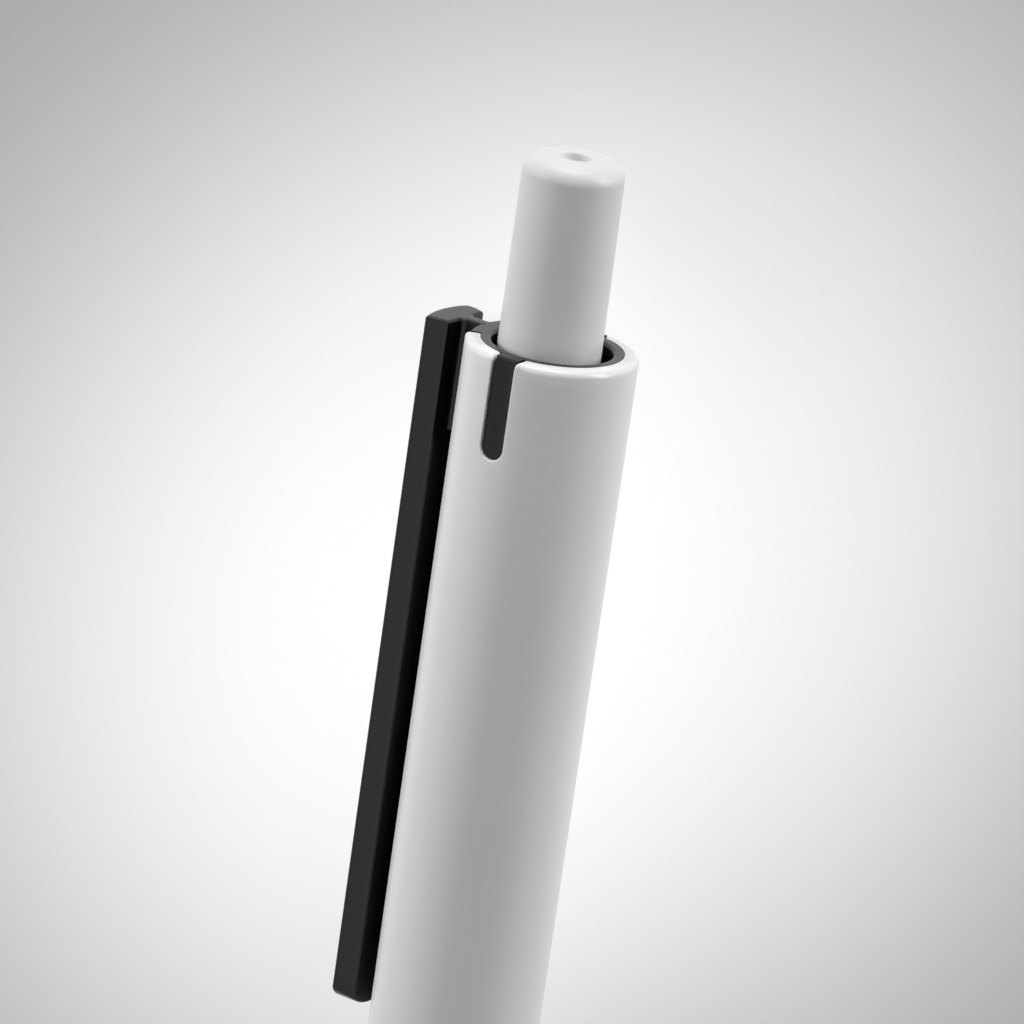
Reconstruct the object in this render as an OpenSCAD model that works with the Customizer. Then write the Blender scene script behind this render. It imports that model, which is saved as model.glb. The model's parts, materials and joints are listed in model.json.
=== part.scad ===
// Retractable ballpoint pen with a click mechanism, lying on its side as it rests on a desk.
//
// As drawn, +X runs along the pen from the writing tip to the push button and +Z is up.
// The barrel's lowest line and the clip's lowest edge both lie at z = 0.
// Each piece is drawn in the pen's own frame and laid down by lay_down(). In that frame Z is
// the pen's axis, zero is the plane of the barrel's rim, the push button is on the plus side
// and the clip stands on the +X side.

/* [Barrel] */
// Outer diameter of the barrel
barrel_d = 10.5; // [10:0.1:12]
// Wall of the barrel where the clip sleeve sits
barrel_wall = 0.9; // [0.8:0.05:1]
// Rounding of the rim's outer edge
rim_round = 0.45; // [0.2:0.05:0.6]
// How much narrower the bore gets below the clip sleeve
bore_step = 0.25; // [0.1:0.05:0.4]
// Break of the edges where the barrel meets the nose cone
parting_edge = 0.15; // [0.05:0.05:0.3]

/* [Slots and keys] */
// Width of the two narrow slots in the rim
key_w = 1.55; // [1:0.05:2.4]
// Depth of the two narrow slots, with their round ends
key_depth = 6.3; // [4:0.1:9]
// Angle that the wide slot under the clip spans
clip_key_angle = 52; // [44:1:60]
// Depth of the wide slot
clip_key_depth = 8; // [7.5:0.1:9.5]
// Rounding of the rim where a slot cuts it
slot_corner = 0.35; // [0.1:0.05:0.5]
// How far the keys lie below the barrel's surface
key_recess = 0.17; // [0.05:0.01:0.3]
// Rounding of the keys' upper outer edge
key_round = 0.2; // [0.1:0.05:0.3]

/* [Clip sleeve] */
// Length of the sleeve inside the barrel
sleeve_len = 24; // [22:0.5:30]
// Wall of the sleeve at its mouth
sleeve_wall = 0.7; // [0.6:0.05:0.8]
// Rounding of the mouth's inner edge
mouth_round = 0.25; // [0.1:0.05:0.4]
// Width of the neck that carries the clip
neck_w = 1; // [0.8:0.1:1.6]
// Length of the neck along the pen
neck_len = 7; // [5:0.1:7.3]
// Rounding between the neck and the clip
neck_fillet = 0.4; // [0.2:0.05:0.5]

/* [Clip] */
// Length of the clip
clip_len = 44.8; // [30:0.1:60]
// Gap between the barrel and the clip
clip_gap = 1.05; // [0.8:0.05:1.6]
// Thickness of the clip at its edges
clip_edge_t = 1.5; // [1.1:0.05:2]
// Height of the clip's crowned back over its edges
clip_crown = 0.4; // [0.2:0.05:0.6]
// Width of the clip's back
clip_w = 4.4; // [3.6:0.1:5.4]
// How much narrower the clip's inner face is than its back
clip_taper = 0.6; // [0:0.1:0.9]
// Rounding of the clip's long edges
clip_round = 0.2; // [0.1:0.05:0.3]
// Radius of the arc at the clip's free end
clip_end_r = 3; // [2.8:0.1:6]
// Rounding of the corners of the free end
clip_end_round = 1; // [0.5:0.1:1.4]

/* [Push button] */
// Diameter of the button at the rim and below
button_d = 6.27; // [6.1:0.01:6.35]
// Diameter of the button just below its rounded top
button_top_d = 6.13; // [5.9:0.01:6.2]
// Height of the button over the rim
button_rise = 11.65; // [10:0.05:16]
// Rounding of the button's top edge
button_round = 1.5; // [0.5:0.1:2]
// Diameter of the shallow hole in the button's top
dimple_d = 1.9; // [1:0.1:2.5]
// Depth of that hole
dimple_depth = 0.6; // [0.2:0.1:1]
// Wall of the hollow button
button_wall = 0.9; // [0.7:0.05:1]
// Thickness of the button's closed top
button_top_t = 1.8; // [1.6:0.1:2.5]

/* [Click mechanism] */
// Full stroke of the button
press_travel = 7.5; // [6:0.1:8]
// Slope of the teeth, in degrees
tooth_slope = 30; // [25:1:35]
// Width of the flat left at the tip of each land's tooth
tooth_flat = 0.2; // [0.1:0.05:0.4]
// Inner diameter between the guide lands
land_d = 6.56; // [6.5:0.02:6.7]
// Width of the guide grooves
groove_w = 1.2; // [1:0.05:1.3]
// Length of the sleeve's skirt below the lands
skirt_len = 2; // [1:0.1:3]
// Height of the ring above the grooves that keeps the button in
stop_ring = 1.2; // [0.8:0.1:2]
// How far the cam passes the lands at full stroke
overshoot = 0.4; // [0.2:0.05:0.8]
// Length of the button's splines
spline_len = 3.2; // [2.5:0.1:4]
// Length of the cam's fins
fin_len = 4; // [3:0.1:5]
// Diameter of the cam's hub
hub_d = 4; // [3.6:0.1:4.2]
// Length of the cam's pilot inside the button
pilot_len = 4; // [2:0.1:5]
// Length of the cam's collar between its fins and the refill
collar_len = 1.6; // [1:0.1:4]
// Length of the cam's plug inside the refill tube
plug_len = 4; // [2:0.1:6]
// Chamfer of the cam's edges
cam_chamfer = 0.3; // [0.1:0.05:0.5]

/* [Refill] */
// Length of the refill, from the tube's tail to the writing ball
refill_len = 107; // [98:0.5:112]
// Outer diameter of the refill tube
tube_d = 3; // [2.8:0.1:3.2]
// Bore of the refill tube
tube_bore_d = 2; // [1.8:0.1:2.1]
// Length of the empty stretch above the ink
ink_head = 9; // [5:0.5:40]
// Diameter of the metal point
point_d = 2.3; // [2.2:0.05:2.5]
// Length of the point outside the tube, with its ball
point_len = 10; // [9.5:0.1:12]
// Length of the point's shank inside the tube
shank_len = 3.5; // [2:0.1:5]
// Length of the point's cone
cone_len = 2.2; // [1.5:0.1:3]
// Diameter of the writing ball
ball_d = 1; // [0.7:0.1:1.2]
// How far the ball stands out of its socket
ball_proud = 0.32; // [0.2:0.02:0.34]
// Bore of the ink channel in the point
channel_d = 0.6; // [0.4:0.1:0.6]
// Distance from the ball to the tube's crimped ears
ear_place = 30; // [27:0.5:36]
// Length of the ears along the tube
ear_len = 2.4; // [1.5:0.1:4]
// Thickness of the ears
ear_t = 0.6; // [0.4:0.1:1]
// How far the ball lies inside the nose at rest
tip_inset = 2.35; // [1.5:0.05:3]

/* [Return spring] */
// Diameter of the spring's wire
wire_d = 0.4; // [0.3:0.05:0.45]
// Number of open coils
open_coils = 11; // [7:1:13]
// Number of closed coils at each end
closed_coils = 1; // [1:1:2]
// Distance between the wires of neighbouring closed coils
closed_gap = 0.45; // [0.42:0.01:0.5]

/* [Nose cone] */
// Length of the nose cone in view
nose_len = 30.35; // [26:0.05:34]
// Diameter of the nose at its very tip
nose_tip_d = 3.7; // [3.5:0.1:4.4]
// Rounding of the nose's tip
nose_tip_round = 0.4; // [0.2:0.05:0.5]
// Length of the spigot that screws into the barrel
spigot_len = 8; // [5:0.5:12]
// Wall of the spigot
spigot_wall = 1; // [0.8:0.05:1.4]
// Distance from the nose's tip to the spring's seat
seat_place = 12.35; // [11:0.05:14]
// Length of the funnel that leads to the spring's bore
funnel_len = 4; // [2:0.1:6]

/* [Fits] */
// Clearance between fixed pieces that are pushed together
seat_fit = 0.04; // [0.02:0.01:0.06]
// Clearance round the metal point in the nose
point_fit = 0.08; // [0.05:0.01:0.1]
// Clearance of the refill tube in the nose
tube_fit = 0.12; // [0.08:0.01:0.15]
// Clearance of fins and splines at the groove's floor and flanks
guide_fit = 0.12; // [0.1:0.01:0.15]
// Clearance inside and outside the return spring
spring_fit = 0.16; // [0.12:0.01:0.2]
// Clearance of the ball in its socket
ball_fit = 0.03; // [0.02:0.01:0.04]
// Clearance between pieces that push on each other end to end
end_fit = 0.15; // [0.1:0.01:0.2]

/* [Hidden] */

// Colours as the object shows them
white_plastic = [0.93, 0.93, 0.93];
dark_plastic = [0.13, 0.13, 0.14];

// Fineness of round shapes, of small round edges that are turned into facets, and of the
// arcs in the nose cone's outline
$fn = 96;
edge_fn = 24;
ogive_steps = 24;
round_steps = 6;

// Overrun of every cut, so that no cut ends on a face
cut = 0.5;

// Radii of the fixed pieces
barrel_r = barrel_d / 2;
seat_r = barrel_r - barrel_wall;
bore_r = seat_r - bore_step;
key_r = barrel_r - key_recess;
sleeve_r = seat_r - seat_fit;
mouth_r = seat_r - sleeve_wall;
land_r = land_d / 2;
mid_wall_r = (mouth_r + sleeve_r) / 2;

// The clip's cross-section: distances from the pen's axis to its faces
clip_in = barrel_r + clip_gap;
clip_edge = clip_in + clip_edge_t;
clip_out = clip_edge + clip_crown;
clip_half = clip_w / 2;
clip_half_in = clip_half - clip_taper / 2;
crown_r = (pow(clip_half, 2) + pow(clip_crown, 2)) / (2 * clip_crown);

// Centre of the rounding at the clip's two outer long edges, where it meets the crown smoothly
edge_t = clip_half - clip_round;
edge_o = clip_out - crown_r + sqrt(pow(crown_r - clip_round, 2) - pow(edge_t, 2));

// The pen lies on its barrel and on one edge of the clip, turned by this angle
rest_roll = atan2(edge_t, edge_o) + acos((barrel_r - clip_round) / norm([edge_o, edge_t]));

// How far the clip reaches sideways from the axis, as the pen lies
clip_reach = edge_o * sin(rest_roll) + edge_t * cos(rest_roll) + clip_round;
axis_y = (barrel_r - clip_reach) / 2;

// The click mechanism, from the sleeve's lower end upwards
tooth_count = 8;
groove_count = tooth_count / 2;
pitch_angle = 360 / tooth_count;
guide_r = mouth_r - guide_fit;
land_pitch = PI * (mouth_r + land_r) / tooth_count;
ramp_rise = (land_pitch - tooth_flat) * tan(tooth_slope);
groove_half_angle = asin(groove_w / 2 / mouth_r);
land_low = skirt_len - sleeve_len;
fin_w = groove_w - 2 * guide_fit;
fin_rise = fin_w * tan(tooth_slope);
fin_top = land_low - overshoot + press_travel;
fin_low = fin_top - fin_rise - fin_len;
button_r = button_d / 2;
crown_pitch = PI * button_r * 2 / tooth_count;
crown_rise = crown_pitch / 2 * tan(tooth_slope);
crown_lead = pitch_angle / 4;
crown_valley = fin_top + button_r * sin(crown_lead) * tan(tooth_slope) - fin_rise / 2 + end_fit;
crown_low = crown_valley - crown_rise;
spline_top = crown_low + spline_len;
groove_top = spline_top + end_fit;
pilot_r = button_r - button_wall - guide_fit;
hub_r = min(hub_d / 2, pilot_r);

// The refill, from the cam's collar down to the ball
tail = fin_low - collar_len;
ball_low = tail - refill_len;
ball_r = ball_d / 2;
ball_z = ball_low + ball_r;
point_top = ball_low + point_len;
tube_r = tube_d / 2;
tube_bore_r = tube_bore_d / 2;
point_r = point_d / 2;
lip_z = ball_low + ball_proud;
socket_r = ball_r + ball_fit;
lip_wall_share = 0.16;
lip_r = sqrt(pow(socket_r, 2) - pow(ball_z - lip_z, 2)) + lip_wall_share * ball_r;
ear_low = ball_low + ear_place;

// The nose cone and the barrel, which is as long as the refill asks for
nose_tip = ball_low - tip_inset;
barrel_low = nose_tip + nose_len;
spring_seat = nose_tip + seat_place;
tip_bore_len = tip_inset + point_len - press_travel - cut;
nose_tip_r = nose_tip_d / 2;
nose_drop = barrel_r - nose_tip_r;
ogive_r = (pow(nose_len, 2) + pow(nose_drop, 2)) / (2 * nose_drop);
spigot_r = seat_r - seat_fit;

// The return spring, held between the nose's seat and the tube's ears
wire_r = wire_d / 2;
coil_r = tube_r + spring_fit + wire_r;
coil_out = coil_r + wire_r;
spring_bore_r = coil_out + spring_fit;
spring_low = spring_seat + end_fit + wire_r;
spring_high = ear_low - end_fit - wire_r;
closed_pitch = wire_d + closed_gap;
turns = open_coils + 2 * closed_coils;
rings_per_turn = 8;
wire_sides = 6;

// Place of the whole pen along X
pen_mid = (button_rise + nose_tip) / 2;

// Turns a piece from the pen's own frame to the lying pose
module lay_down() {
    translate([-pen_mid, axis_y, barrel_r])
        rotate([0, 90, 0])
            rotate([0, 0, rest_roll])
                children();
}

// Turns a flat outline, X across and Y up the pen, into a prism that runs outwards along +X
// between two distances from the axis
module radial_prism(from, to) {
    translate([from, 0, 0])
        rotate([90, 0, 90])
            linear_extrude(to - from)
                children();
}

// A plain ring or rod about the axis
module tube(low, high, outer, inner = 0) {
    translate([0, 0, low])
        difference() {
            cylinder(h = high - low, r = outer);
            if (inner > 0)
                translate([0, 0, -cut])
                    cylinder(h = high - low + 2 * cut, r = inner);
        }
}

// Outline of a narrow slot that opens at the rim: straight sides and a round lower end
module slot_outline(width, depth, top) {
    half = width / 2;
    translate([-half, half - depth])
        square([width, depth - half + top]);
    translate([0, half - depth])
        circle(r = half);
}

// Outline of the rounded corner where a slot's right flank, at X = 0, meets the rim
module slot_mouth() {
    difference() {
        translate([0, -slot_corner])
            square([slot_corner, 2 * slot_corner]);
        translate([slot_corner, -slot_corner])
            circle(r = slot_corner);
    }
}

// The cut that one narrow slot makes in the barrel
module slot_cut() {
    radial_prism(mouth_r, barrel_r + cut) {
        slot_outline(key_w, key_depth, cut);
        for (side = [0, 1])
            mirror([side, 0])
                translate([key_w / 2, 0])
                    slot_mouth();
    }
}

// The cut that the wide slot makes in the barrel, as two halves that overlap in its middle
module clip_slot_cut() {
    half = barrel_r * sin(clip_key_angle / 2) + cut / 2;
    for (side = [0, 1])
        mirror([0, side, 0])
            rotate([0, 0, clip_key_angle / 2])
                radial_prism(mouth_r, barrel_r + cut) {
                    translate([-half, -clip_key_depth])
                        square([half, clip_key_depth + cut]);
                    slot_mouth();
                }
}

// The wide key's sector of the wall: its flanks lie one fit inside the slot's
module clip_key_sector() {
    far = barrel_r + cut;
    far_half = far * tan(clip_key_angle / 2);
    translate([seat_fit / sin(clip_key_angle / 2), 0, seat_fit - clip_key_depth])
        linear_extrude(clip_key_depth + cut)
            polygon([[0, 0], [far, -far_half], [far, far_half]]);
}

// Places children at the narrow key slots, a quarter turn either side of the clip
module at_side_keys() {
    for (side = [-1, 1])
        rotate([0, 0, side * 90])
            children();
}

// White outer tube with its three slots in the rim
module barrel() {
    color(white_plastic) lay_down() difference() {
        rotate_extrude() barrel_profile();
        at_side_keys() slot_cut();
        clip_slot_cut();
    }
}

// Half section of the barrel, with its seats for the sleeve and for the nose's spigot
module barrel_profile() {
    sleeve_seat = -sleeve_len - seat_fit;
    spigot_seat = barrel_low + spigot_len + seat_fit;
    difference() {
        translate([bore_r, barrel_low])
            square([barrel_r - bore_r, -barrel_low]);
        translate([bore_r - cut, sleeve_seat])
            square([bore_step + cut, cut - sleeve_seat]);
        translate([bore_r - cut, barrel_low - cut])
            square([bore_step + cut, spigot_len + seat_fit + cut]);
        translate([barrel_r - rim_round, -rim_round])
            corner_cut(rim_round);
        translate([barrel_r - parting_edge, barrel_low + parting_edge])
            mirror([0, 1])
                corner_cut(parting_edge);
    }
}

// What is taken off a square corner to round it, with the arc's centre at the origin
module corner_cut(round) {
    difference() {
        square(round + cut);
        circle(r = round);
    }
}

// White nose cone that screws into the barrel
module nose_cone() {
    color(white_plastic) lay_down() rotate_extrude() nose_profile();
}

// Points along an arc, as seen with angle 0 on the +X side
function arc(centre, radius, from, to, steps) = [
    for (i = [0 : steps])
        let (angle = from + (to - from) * i / steps)
        centre + radius * [cos(angle), sin(angle)]
];

// Half section of the nose cone: ogive outside, and inside the funnel, the spring's bore,
// the tube's guide and the hole for the point
module nose_profile() {
    spigot_top = barrel_low + spigot_len;
    spigot_in = spigot_r - spigot_wall;
    centre_x = barrel_r - ogive_r;
    tip_turn = -asin((nose_len - nose_tip_round) / (ogive_r - nose_tip_round));
    tip_centre = [centre_x + (ogive_r - nose_tip_round) * cos(tip_turn), nose_tip + nose_tip_round];
    difference() {
        polygon(concat(
            [[0, spigot_top], [spigot_r, spigot_top], [spigot_r, barrel_low]],
            arc([centre_x, barrel_low], ogive_r, 0, tip_turn, ogive_steps),
            arc(tip_centre, nose_tip_round, tip_turn, -90, round_steps),
            [[0, nose_tip]]
        ));
        polygon([
            [-cut, spigot_top + cut],
            [spigot_in, spigot_top + cut],
            [spigot_in, barrel_low],
            [spring_bore_r, barrel_low - funnel_len],
            [spring_bore_r, spring_seat],
            [tube_r + tube_fit, spring_seat],
            [tube_r + tube_fit, nose_tip + tip_bore_len],
            [point_r + point_fit, nose_tip + tip_bore_len],
            [point_r + point_fit, nose_tip - cut],
            [-cut, nose_tip - cut],
        ]);
        translate([barrel_r - parting_edge, barrel_low - parting_edge])
            corner_cut(parting_edge);
    }
}

// A square between two opposite corners
module square_from(low, high) {
    translate(low)
        square(high - low);
}

// Dark sleeve inside the rim: the keys that fill the slots, the clip's neck and the guide lands
module clip_sleeve() {
    color(dark_plastic) lay_down() {
        rotate_extrude() sleeve_profile();
        at_side_keys() key()
            radial_prism(mouth_r, barrel_r)
                slot_outline(key_w - 2 * seat_fit, key_depth - seat_fit, cut);
        key() clip_key_sector();
        neck();
        guide_lands();
    }
}

// Half section of the sleeve's wall, rounded at the mouth
module sleeve_profile() {
    difference() {
        square_from([mouth_r, -sleeve_len], [sleeve_r, 0]);
        translate([mouth_r + mouth_round, -mouth_round])
            mirror([1, 0])
                corner_cut(mouth_round);
    }
}

// Lands inside the sleeve, joined by a ring above the grooves that stops the button's splines
module guide_lands() {
    difference() {
        rotate_extrude()
            polygon([
                [land_r, land_low],
                [mid_wall_r, land_low],
                [mid_wall_r, groove_top + stop_ring],
                [mouth_r, groove_top + stop_ring],
                [land_r, groove_top + stop_ring / 2],
            ]);
        for (k = [0 : groove_count - 1])
            rotate([0, 0, k * 360 / groove_count])
                translate([0, -groove_w / 2, land_low - cut])
                    cube([barrel_r, groove_w, groove_top - land_low + cut]);
        land_teeth();
    }
}

// Saw teeth at the lower ends of the lands: each ramp turns the cam on by one pitch
module land_teeth() {
    low = land_low - cut;
    for (k = [0 : tooth_count - 1])
        rotate([0, 0, groove_half_angle + (k + 0.5) * pitch_angle])
            radial_prism(land_r / 2, barrel_r)
                polygon([
                    [land_pitch / 2, low],
                    [land_pitch / 2, land_low + ramp_rise],
                    [land_pitch / 2 - (ramp_rise + cut) / tan(tooth_slope), low],
                ]);
}

// One key, in the shape of its slot less the fit: its outer face lies below the barrel's
module key() {
    intersection() {
        children();
        rotate_extrude()
            difference() {
                square_from([mouth_r, -sleeve_len], [key_r, 0]);
                translate([key_r - key_round, -key_round])
                    corner_cut(key_round);
            }
    }
}

// Thin web between the wide key and the clip, filleted where it meets the clip
module neck() {
    start = key_r - key_round - cut;
    difference() {
        translate([0, 0, -neck_len])
            linear_extrude(neck_len)
                neck_outline(start);
        translate([clip_in - clip_gap / 2, 0, -neck_len])
            rotate([90, 0, 0])
                cylinder(h = neck_w + 4 * neck_fillet, r = clip_gap / 3, center = true);
    }
}

// Plan of the neck, wider at the clip
module neck_outline(start) {
    half = neck_w / 2;
    square_from([start, -half], [clip_in, half]);
    for (side = [-1, 1])
        difference() {
            translate([clip_in - neck_fillet / 2, side * (half + neck_fillet / 2)])
                square(neck_fillet, center = true);
            translate([clip_in - neck_fillet, side * (half + neck_fillet)])
                circle(r = neck_fillet);
        }
}

// The clip, a crowned bar beside the barrel
module clip_arm() {
    color(dark_plastic) lay_down() intersection() {
        translate([0, 0, -clip_len])
            linear_extrude(clip_len)
                clip_section();
        radial_prism(clip_in - cut, clip_out + cut)
            clip_front();
    }
}

// Cross-section of the clip: flat inner face, leaning sides and a crowned back
module clip_section() {
    hull() {
        for (side = [-1, 1]) {
            translate([edge_o, side * edge_t])
                circle(r = clip_round, $fn = edge_fn);
            translate([clip_in + clip_round, side * (clip_half_in - clip_round)])
                circle(r = clip_round, $fn = edge_fn);
        }
        intersection() {
            translate([clip_out - crown_r, 0])
                circle(r = crown_r);
            square_from([clip_in, -edge_t], [clip_out, edge_t]);
        }
    }
}

// The clip seen from the front, with its arched free end
module clip_front() {
    offset(r = clip_end_round, $fn = edge_fn)
        offset(delta = -clip_end_round)
            intersection() {
                square_from([-clip_half, -clip_len], [clip_half, 2 * clip_end_round]);
                union() {
                    translate([0, clip_end_r - clip_len])
                        circle(r = clip_end_r);
                    square_from([-clip_half, clip_end_r - clip_len], [clip_half, 2 * clip_end_round]);
                }
            }
}

// White push button: hollow cap, splines and a toothed crown at its lower end
module push_button() {
    color(white_plastic) lay_down() difference() {
        union() {
            rotate_extrude() button_profile();
            intersection() {
                for (k = [0 : groove_count - 1])
                    rotate([0, 0, k * 360 / groove_count])
                        translate([0, -fin_w / 2, crown_low])
                            cube([mouth_r, fin_w, spline_len]);
                tube(crown_low, spline_top, guide_r, button_r - button_wall / 2);
            }
        }
        crown_teeth();
    }
}

// Half section of the button
module button_profile() {
    top_r = button_top_d / 2;
    round_r = min(button_round, top_r - dimple_d / 2);
    difference() {
        union() {
            square_from([0, crown_low], [button_r, 0]);
            polygon([
                [0, -cut],
                [button_r, -cut],
                [button_r, 0],
                [top_r, button_rise - round_r],
                [top_r, button_rise],
                [0, button_rise],
            ]);
        }
        translate([top_r - round_r, button_rise - round_r])
            corner_cut(round_r);
        square_from([-cut, crown_low - cut], [button_r - button_wall, button_rise - button_top_t]);
        square_from([-cut, button_rise - dimple_depth], [dimple_d / 2, button_rise + cut]);
    }
}

// V notches between the crown's teeth, which press on the cam's slanted fins
module crown_teeth() {
    half = crown_pitch / 2;
    for (k = [0 : tooth_count - 1])
        rotate([0, 0, crown_lead + k * pitch_angle])
            radial_prism(hub_r / 2, mouth_r)
                polygon([
                    [-half, crown_low],
                    [0, crown_valley],
                    [half, crown_low],
                    [half, crown_low - cut],
                    [-half, crown_low - cut],
                ]);
}

// Dark cam: four slanted fins that run in the grooves or rest on the lands' teeth
module cam() {
    color(dark_plastic) lay_down() {
        rotate_extrude() cam_profile();
        intersection() {
            for (k = [0 : groove_count - 1])
                rotate([0, 0, k * 360 / groove_count])
                    radial_prism(hub_r / 2, mouth_r)
                        polygon([
                            [-fin_w / 2, fin_low],
                            [fin_w / 2, fin_low],
                            [fin_w / 2, fin_top],
                            [-fin_w / 2, fin_top - fin_rise],
                        ]);
            tube(fin_low - cut, fin_top, guide_r);
        }
    }
}

// Half section of the cam's core: pilot, hub, collar on the tube's end and plug inside it
module cam_profile() {
    pilot_top = fin_top - fin_rise / 2 + pilot_len;
    plug_r = tube_bore_r - seat_fit;
    polygon([
        [0, tail - plug_len],
        [plug_r - cam_chamfer, tail - plug_len],
        [plug_r, tail - plug_len + cam_chamfer],
        [plug_r, tail],
        [tube_r, tail],
        [tube_r, fin_low - cam_chamfer],
        [hub_r, fin_low - cam_chamfer + hub_r - tube_r],
        [hub_r, pilot_top - cam_chamfer],
        [hub_r - cam_chamfer, pilot_top],
        [0, pilot_top],
    ]);
}

// Plastic refill tube with two crimped ears that carry the spring
module refill_tube() {
    color([0.88, 0.88, 0.86]) lay_down() {
        tube(point_top, tail, tube_r, tube_bore_r);
        intersection() {
            for (side = [0, 180])
                rotate([0, 0, side])
                    radial_prism((tube_r + tube_bore_r) / 2, coil_out)
                        ear_outline();
            tube(ear_low, ear_low + ear_len, coil_out, (tube_r + tube_bore_r) / 2);
        }
    }
}

// One crimped ear seen from outside: flat towards the spring, rounded at its upper end
module ear_outline() {
    half = ear_t / 2;
    translate([-half, ear_low])
        square([ear_t, ear_len - half]);
    translate([0, ear_low + ear_len - half])
        circle(r = half);
}

// Ink inside the tube, up to the empty stretch at its tail
module ink_column() {
    color([0.06, 0.08, 0.3]) lay_down()
        tube(point_top + shank_len + seat_fit, tail - ink_head, tube_bore_r - seat_fit);
}

// Metal point with its shank, ink channel and ball socket
module ball_point() {
    color("#b89a55") lay_down() difference() {
        rotate_extrude() point_profile();
        translate([0, 0, ball_z])
            sphere(r = socket_r);
    }
}

// Half section of the point, without the socket
module point_profile() {
    cone_top = lip_z + cone_len;
    polygon([
        [channel_d / 2, ball_z],
        [channel_d / 2, point_top + shank_len],
        [tube_bore_r - seat_fit, point_top + shank_len],
        [tube_bore_r - seat_fit, point_top],
        [point_r, point_top],
        [point_r, cone_top],
        [lip_r, lip_z],
        [channel_d / 2, lip_z],
    ]);
}

// The ball that rolls in the point's socket
module writing_ball() {
    color("silver") lay_down()
        translate([0, 0, ball_z])
            sphere(r = ball_r);
}

// Height of the spring's wire after a number of turns: closed coils at both ends
function wire_height(turn) =
    let (open_len = spring_high - spring_low - 2 * closed_coils * closed_pitch)
    turn < closed_coils ? spring_low + turn * closed_pitch
    : turn > turns - closed_coils ? spring_high - (turns - turn) * closed_pitch
    : spring_low + closed_coils * closed_pitch
      + (turn - closed_coils) * open_len / open_coils;

// A point on the wire's centre line after a number of turns
function wire_place(turn) =
    [coil_r * cos(turn * 360), coil_r * sin(turn * 360), wire_height(turn)];

// One ring of points round the wire
function wire_ring(turn) = [
    for (side = [0 : wire_sides - 1])
        let (angle = side * 360 / wire_sides, out = coil_r + wire_r * cos(angle))
        [out * cos(turn * 360), out * sin(turn * 360), wire_height(turn) + wire_r * sin(angle)]
];

// The spring as one unbroken tube of wire
module return_spring() {
    rings = turns * rings_per_turn;
    points = [for (i = [0 : rings]) each wire_ring(i / rings_per_turn)];
    sides = [
        for (i = [0 : rings - 1], j = [0 : wire_sides - 1])
            let (a = i * wire_sides + j, b = i * wire_sides + (j + 1) % wire_sides)
            each [[a, a + wire_sides, b + wire_sides], [a, b + wire_sides, b]]
    ];
    first = [for (j = [1 : wire_sides - 2]) [0, j, j + 1]];
    last_ring = rings * wire_sides;
    last = [for (j = [1 : wire_sides - 2]) [last_ring, last_ring + j + 1, last_ring + j]];
    color("silver") lay_down()
        polyhedron(points = points, faces = concat(sides, first, last));
}

// Least gap between the spring's wire and itself, measured on its own points a turn apart
spring_gap = min([
    for (i = [0 : (turns - 1) * rings_per_turn], j = [-1 : 1])
        let (here = i / rings_per_turn, there = here + 1 + j / rings_per_turn)
        if (there <= turns)
            norm(wire_place(there) - wire_place(here)) - wire_d
]);
echo(spring_gap = spring_gap);

barrel();
nose_cone();
clip_sleeve();
clip_arm();
push_button();
cam();
refill_tube();
ink_column();
ball_point();
writing_ball();
return_spring();
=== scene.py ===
import json
import math

import bmesh
import bpy
import numpy as np
from mathutils import Matrix, Vector
from mathutils.geometry import delaunay_2d_cdt

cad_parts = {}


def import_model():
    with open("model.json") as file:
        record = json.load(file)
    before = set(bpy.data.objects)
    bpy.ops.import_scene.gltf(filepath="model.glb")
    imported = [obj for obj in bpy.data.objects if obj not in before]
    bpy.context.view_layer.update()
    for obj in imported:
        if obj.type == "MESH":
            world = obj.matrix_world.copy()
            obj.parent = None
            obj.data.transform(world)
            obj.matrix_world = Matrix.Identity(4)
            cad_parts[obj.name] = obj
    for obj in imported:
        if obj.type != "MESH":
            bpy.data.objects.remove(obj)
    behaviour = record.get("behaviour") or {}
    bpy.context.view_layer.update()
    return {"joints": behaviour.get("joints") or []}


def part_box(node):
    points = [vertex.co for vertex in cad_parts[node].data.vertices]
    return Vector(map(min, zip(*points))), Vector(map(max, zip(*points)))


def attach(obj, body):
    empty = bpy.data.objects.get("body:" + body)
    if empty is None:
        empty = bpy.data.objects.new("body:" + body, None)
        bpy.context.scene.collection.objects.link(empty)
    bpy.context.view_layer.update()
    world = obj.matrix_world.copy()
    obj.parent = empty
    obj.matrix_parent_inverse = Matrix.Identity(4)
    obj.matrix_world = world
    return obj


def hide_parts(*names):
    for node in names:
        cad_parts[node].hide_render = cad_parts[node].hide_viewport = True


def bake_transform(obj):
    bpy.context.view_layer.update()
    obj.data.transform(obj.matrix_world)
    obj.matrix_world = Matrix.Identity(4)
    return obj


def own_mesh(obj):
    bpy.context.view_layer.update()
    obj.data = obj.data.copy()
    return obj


# Retractable pen: shapes in millimetres in the pen's own frame, where Z runs along the axis with
# zero at the barrel's rim, X points to the clip and Y to the narrow slot that faces the camera.
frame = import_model()

MM = 0.001


def joint(name):
    """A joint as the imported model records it."""
    return next(j for j in frame["joints"] if j["name"] == name)


def pen_frame():
    """Matrix from the pen's own frame, in millimetres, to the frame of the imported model."""
    along = Vector((1, 0, 0))
    side = -Vector(joint("clip_flex")["axis"]).normalized()
    to_clip = side.cross(along)
    low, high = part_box("writing_ball")
    origin = (low + high) / 2
    origin.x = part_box("barrel")[1].x
    turn = Matrix((to_clip, side, along)).transposed().to_4x4()
    return Matrix.Translation(origin) @ turn @ Matrix.Scale(MM, 4)


PEN = pen_frame()
PEN_ARRAY = np.array(PEN)


def place(x, y, z):
    """A point of the pen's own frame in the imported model's frame."""
    return PEN @ Vector((x, y, z))


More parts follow.
